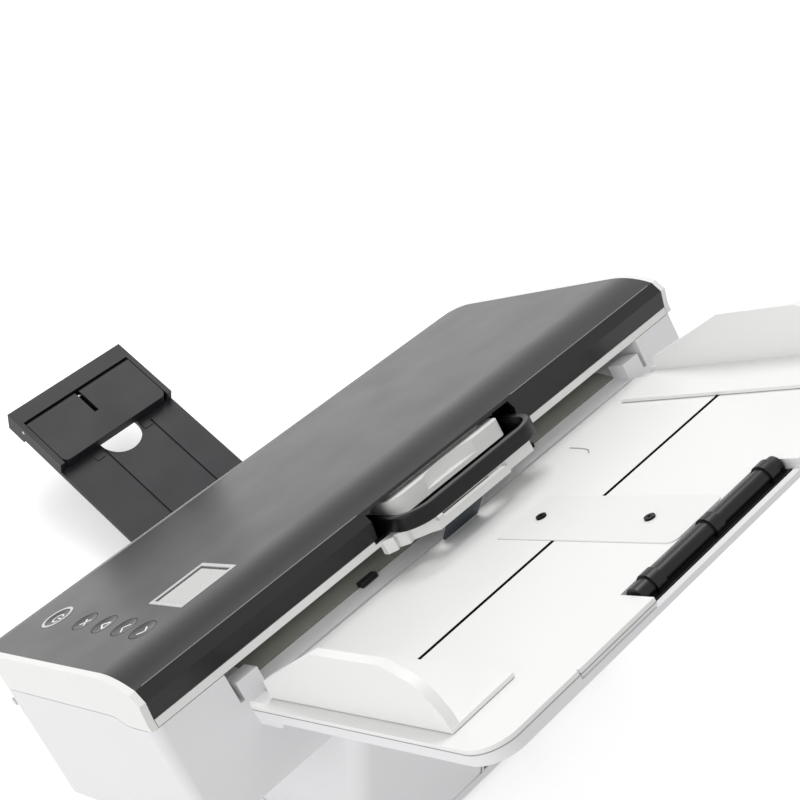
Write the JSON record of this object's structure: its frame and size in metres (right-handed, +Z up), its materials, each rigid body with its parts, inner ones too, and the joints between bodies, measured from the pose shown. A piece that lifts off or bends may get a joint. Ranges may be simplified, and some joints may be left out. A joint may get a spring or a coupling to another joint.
{
  "type": "document scanner",
  "caption": "Desktop sheet-fed document scanner: sloping body with a lift-up cover, display and buttons, a rear input tray with sliding guides and a narrow front output tray.",
  "frame": {"origin": "on the table, under the middle of the whole object", "axes": "+Z up; +Y to the rear, where the input tray is; +X to the side with the display and buttons"},
  "size_m": [0.312, 0.4112, 0.2501],
  "materials": {
    "housing_shell": "matte",
    "cover_skin": "satin",
    "white_plastic": "satin",
    "tray_plastic": "satin",
    "dark_plastic": "matte",
    "black_plastic": "satin",
    "slate_plastic": "matte",
    "button_plastic": "satin",
    "silver_trim": "satin",
    "display_glass": "clear gloss",
    "scan_glass": "clear gloss",
    "roller_rubber": "matte",
    "foot_rubber": "matte",
    "shaft_steel": "satin",
    "screw_steel": "satin",
    "circuit_board": "satin",
    "socket_shell": "satin"
  },
  "bodies": {
    "base_unit": {"lower_housing": "housing_shell", "lower_paper_guide": "dark_plastic", "lower_scan_glass": "scan_glass", "lower_image_sensor": "black_plastic", "shaft_bearings": "white_plastic", "drive_motor": "shaft_steel", "drive_belt": "roller_rubber", "main_board": "circuit_board", "power_inlet": "black_plastic", "usb_port": "socket_shell", "housing_screws": "screw_steel", "hinge_pins": "shaft_steel", "base_housing": "housing_shell", "base_bottom_plate": "dark_plastic", "rubber_feet": "foot_rubber"},
    "cover": {"cover_shell": "cover_skin", "cover_band": "white_plastic", "upper_paper_guide": "white_plastic", "upper_scan_glass": "scan_glass", "upper_image_sensor": "black_plastic", "display_bezel": "silver_trim", "display_lens": "display_glass", "control_board": "circuit_board", "power_ring": "silver_trim", "button_domes": "foot_rubber", "handle_pocket": "black_plastic", "module_frame": "white_plastic", "separation_flap": "slate_plastic", "cover_screws": "screw_steel"},
    "handle": {"handle_loop": "black_plastic"},
    "lever": {"gap_lever": "white_plastic"},
    "separation_roller": {"separation_shaft": "shaft_steel", "separation_tyre": "roller_rubber"},
    "idler_roller": {"idler_shaft": "shaft_steel", "idler_tyres": "roller_rubber"},
    "power_key": {"power_button": "button_plastic"},
    "stop_key": {"stop_button": "button_plastic"},
    "start_key": {"start_button": "button_plastic"},
    "down_key": {"down_button": "button_plastic"},
    "up_key": {"up_button": "button_plastic"},
    "feed_roller": {"feed_shaft": "shaft_steel", "feed_tyres": "roller_rubber", "feed_pulley": "white_plastic"},
    "exit_roller": {"exit_shaft": "shaft_steel", "exit_tyres": "roller_rubber", "exit_pulley": "white_plastic"},
    "motor_rotor": {"motor_axle": "shaft_steel", "motor_pulley": "white_plastic"},
    "input_tray": {"tray_top": "tray_plastic", "tray_bottom": "housing_shell", "centre_plate": "white_plastic", "plate_screws": "screw_steel", "flap_rod": "shaft_steel"},
    "right_guide": {"guide_right": "tray_plastic"},
    "left_guide": {"guide_left": "tray_plastic"},
    "pinion": {"guide_pinion": "white_plastic"},
    "page_rest": {"rest_flap": "black_plastic"},
    "out_tray": {"output_tray": "dark_plastic", "stop_flap_pin": "shaft_steel"},
    "page_stop": {"stop_flap": "dark_plastic"}
  },
  "joints": [
    {"name": "cover_hinge", "type": "hinge", "parent": "base_unit", "child": "cover", "pos_m": [0, -0.03223, 0.07534], "axis": [1, 0, 0], "range_deg": [0, 50]},
    {"name": "handle_lift", "type": "hinge", "parent": "cover", "child": "handle", "pos_m": [0, 0.06391, 0.16651], "axis": [1, 0, 0], "range_deg": [0, 15], "stiffness_Nm_per_rad": 0.02, "springref_deg": -8.59},
    {"name": "gap_press", "type": "hinge", "parent": "cover", "child": "lever", "pos_m": [0, 0.05749, 0.16415], "axis": [-1, 0, 0], "range_deg": [0, 4], "stiffness_Nm_per_rad": 0.3, "springref_deg": -3.44},
    {"name": "power_press", "type": "slide", "parent": "cover", "child": "power_key", "axis": [0, 0.6225, -0.7826], "range_m": [0, 0.0008], "stiffness_N_per_m": 300, "springref_m": -0.0005},
    {"name": "stop_press", "type": "slide", "parent": "cover", "child": "stop_key", "axis": [0, 0.6225, -0.7826], "range_m": [0, 0.0008], "stiffness_N_per_m": 300, "springref_m": -0.0005},
    {"name": "start_press", "type": "slide", "parent": "cover", "child": "start_key", "axis": [0, 0.6225, -0.7826], "range_m": [0, 0.0008], "stiffness_N_per_m": 300, "springref_m": -0.0005},
    {"name": "down_press", "type": "slide", "parent": "cover", "child": "down_key", "axis": [0, 0.6225, -0.7826], "range_m": [0, 0.0008], "stiffness_N_per_m": 300, "springref_m": -0.0005},
    {"name": "up_press", "type": "slide", "parent": "cover", "child": "up_key", "axis": [0, 0.6225, -0.7826], "range_m": [0, 0.0008], "stiffness_N_per_m": 300, "springref_m": -0.0005},
    {"name": "tray_fold", "type": "hinge", "parent": "base_unit", "child": "input_tray", "pos_m": [0, 0.09981, 0.15993], "axis": [1, 0, 0], "range_deg": [0, 20]},
    {"name": "guide_right_slide", "type": "slide", "parent": "input_tray", "child": "right_guide", "axis": [-1, 0, 0], "range_m": [0, 0.07]},
    {"name": "guide_left_slide", "type": "slide", "parent": "input_tray", "child": "left_guide", "axis": [1, 0, 0], "range_m": [0, 0.07]},
    {"name": "pinion_turn", "type": "hinge", "parent": "input_tray", "child": "pinion", "pos_m": [-0.0035, 0.14318, 0.19698], "axis": [0, -0.6225, 0.7826], "range_deg": [-1, 505]},
    {"name": "rest_flap_turn", "type": "hinge", "parent": "input_tray", "child": "page_rest", "pos_m": [0, 0.19492, 0.24197], "axis": [1, 0, 0], "range_deg": [0, 90]},
    {"name": "output_tray_fold", "type": "hinge", "parent": "base_unit", "child": "out_tray", "pos_m": [0, -0.04408, 0.0121], "axis": [-1, 0, 0], "range_deg": [0, 55]},
    {"name": "stop_flap_turn", "type": "hinge", "parent": "out_tray", "child": "page_stop", "pos_m": [0, -0.19109, 0.04077], "axis": [1, 0, 0], "range_deg": [0, 90]},
    {"name": "feed_spin", "type": "hinge", "parent": "base_unit", "child": "feed_roller", "pos_m": [0, 0.0622, 0.13333], "axis": [1, 0, 0], "continuous": true},
    {"name": "exit_spin", "type": "hinge", "parent": "base_unit", "child": "exit_roller", "pos_m": [0, -0.00667, 0.07855], "axis": [1, 0, 0], "continuous": true},
    {"name": "motor_spin", "type": "hinge", "parent": "base_unit", "child": "motor_rotor", "pos_m": [0, 0.04012, 0.09201], "axis": [1, 0, 0], "continuous": true},
    {"name": "separation_spin", "type": "hinge", "parent": "cover", "child": "separation_roller", "pos_m": [0, 0.05018, 0.14844], "axis": [1, 0, 0], "continuous": true},
    {"name": "idler_spin", "type": "hinge", "parent": "cover", "child": "idler_roller", "pos_m": [0, -0.01744, 0.09209], "axis": [1, 0, 0], "continuous": true}
  ],
  "couplings": [
    {"joint": "guide_left_slide", "follows": "guide_right_slide", "ratio": 1},
    {"joint": "pinion_turn", "follows": "guide_right_slide", "rad_per_m": 125},
    {"joint": "exit_spin", "follows": "feed_spin", "ratio": 1.2},
    {"joint": "motor_spin", "follows": "feed_spin", "ratio": 1.2}
  ]
}
